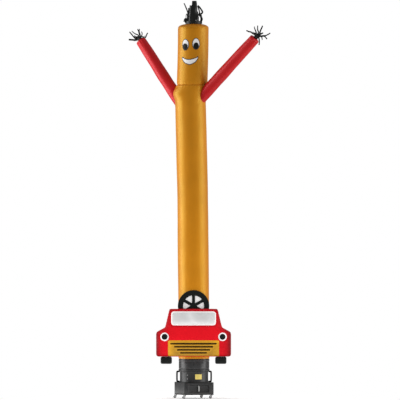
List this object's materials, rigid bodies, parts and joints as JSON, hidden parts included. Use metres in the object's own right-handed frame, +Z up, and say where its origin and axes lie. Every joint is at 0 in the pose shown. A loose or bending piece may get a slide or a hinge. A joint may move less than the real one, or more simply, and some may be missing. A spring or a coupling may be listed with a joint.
{
  "type": "inflatable air dancer on a blower",
  "caption": "Tall cloth tube figure with raised arms, streamer hair and hands and a padded car-shaped panel, inflated on a round-outlet fan unit with casters.",
  "frame": {"origin": "middle of the bounding box, on the floor under the casters", "axes": "+Z up along the tube, the face and the car panel look along -Y, +X to the right as the face is seen"},
  "size_m": [2.1539, 1.1014, 6.0399],
  "materials": {
    "gold_cloth": "satin",
    "red_cloth": "satin",
    "black_cloth": "satin",
    "white_cloth": "satin",
    "grey_cloth": "satin",
    "bar_cloth": "satin",
    "dark_plastic": "satin",
    "duct_plastic": "satin",
    "label_film": "satin",
    "steel": "satin",
    "wheel_rubber": "matte"
  },
  "bodies": {
    "dancer_on_unit": {"body_tube": "gold_cloth", "head_tube": "gold_cloth", "crown_panel": "gold_cloth", "grille_panel": "gold_cloth", "arm_left": "red_cloth", "arm_right": "red_cloth", "car_body": "red_cloth", "hair_ruff": "black_cloth", "streamers_left": "black_cloth", "streamers_right": "black_cloth", "pupil_left": "black_cloth", "pupil_right": "black_cloth", "headlight_left": "black_cloth", "headlight_right": "black_cloth", "spare_wheel": "black_cloth", "tyre_left": "black_cloth", "tyre_right": "black_cloth", "eye_left": "white_cloth", "eye_right": "white_cloth", "mouth": "white_cloth", "windscreen_border": "white_cloth", "headlight_ring_left": "white_cloth", "headlight_ring_right": "white_cloth", "wheel_face": "white_cloth", "windscreen": "grey_cloth", "grille_bar_1": "bar_cloth", "grille_bar_2": "bar_cloth", "grille_bar_3": "bar_cloth", "grille_bar_4": "bar_cloth", "joint_band": "dark_plastic", "fan_drum": "dark_plastic", "housing": "dark_plastic", "base_plate": "dark_plastic", "handle_left": "dark_plastic", "handle_right": "dark_plastic", "outlet_duct": "duct_plastic", "panel_grip": "duct_plastic", "rating_label": "label_film", "drum_screw_1": "steel", "drum_screw_2": "steel"},
    "swivel_1": {"caster_fork_1": "steel"},
    "roller_1": {"caster_wheel_1": "wheel_rubber"},
    "swivel_2": {"caster_fork_2": "steel"},
    "roller_2": {"caster_wheel_2": "wheel_rubber"},
    "swivel_3": {"caster_fork_3": "steel"},
    "roller_3": {"caster_wheel_3": "wheel_rubber"},
    "swivel_4": {"caster_fork_4": "steel"},
    "roller_4": {"caster_wheel_4": "wheel_rubber"}
  },
  "joints": [
    {"name": "swivel_1_turn", "type": "hinge", "parent": "dancer_on_unit", "child": "swivel_1", "pos_m": [-0.21287, -0.24086, 0.0515], "axis": [0, 0, 1], "continuous": true},
    {"name": "roller_1_spin", "type": "hinge", "parent": "swivel_1", "child": "roller_1", "pos_m": [-0.23487, -0.24086, 0.0225], "axis": [0, 1, 0], "continuous": true},
    {"name": "swivel_2_turn", "type": "hinge", "parent": "dancer_on_unit", "child": "swivel_2", "pos_m": [0.19036, -0.10437, 0.0515], "axis": [0, 0, 1], "continuous": true},
    {"name": "roller_2_spin", "type": "hinge", "parent": "swivel_2", "child": "roller_2", "pos_m": [0.16836, -0.10437, 0.0225], "axis": [0, 1, 0], "continuous": true},
    {"name": "swivel_3_turn", "type": "hinge", "parent": "dancer_on_unit", "child": "swivel_3", "pos_m": [0.05387, 0.29886, 0.0515], "axis": [0, 0, 1], "continuous": true},
    {"name": "roller_3_spin", "type": "hinge", "parent": "swivel_3", "child": "roller_3", "pos_m": [0.03187, 0.29886, 0.0225], "axis": [0, 1, 0], "continuous": true},
    {"name": "swivel_4_turn", "type": "hinge", "parent": "dancer_on_unit", "child": "swivel_4", "pos_m": [-0.34936, 0.16237, 0.0515], "axis": [0, 0, 1], "continuous": true},
    {"name": "roller_4_spin", "type": "hinge", "parent": "swivel_4", "child": "roller_4", "pos_m": [-0.37136, 0.16237, 0.0225], "axis": [0, 1, 0], "continuous": true}
  ]
}
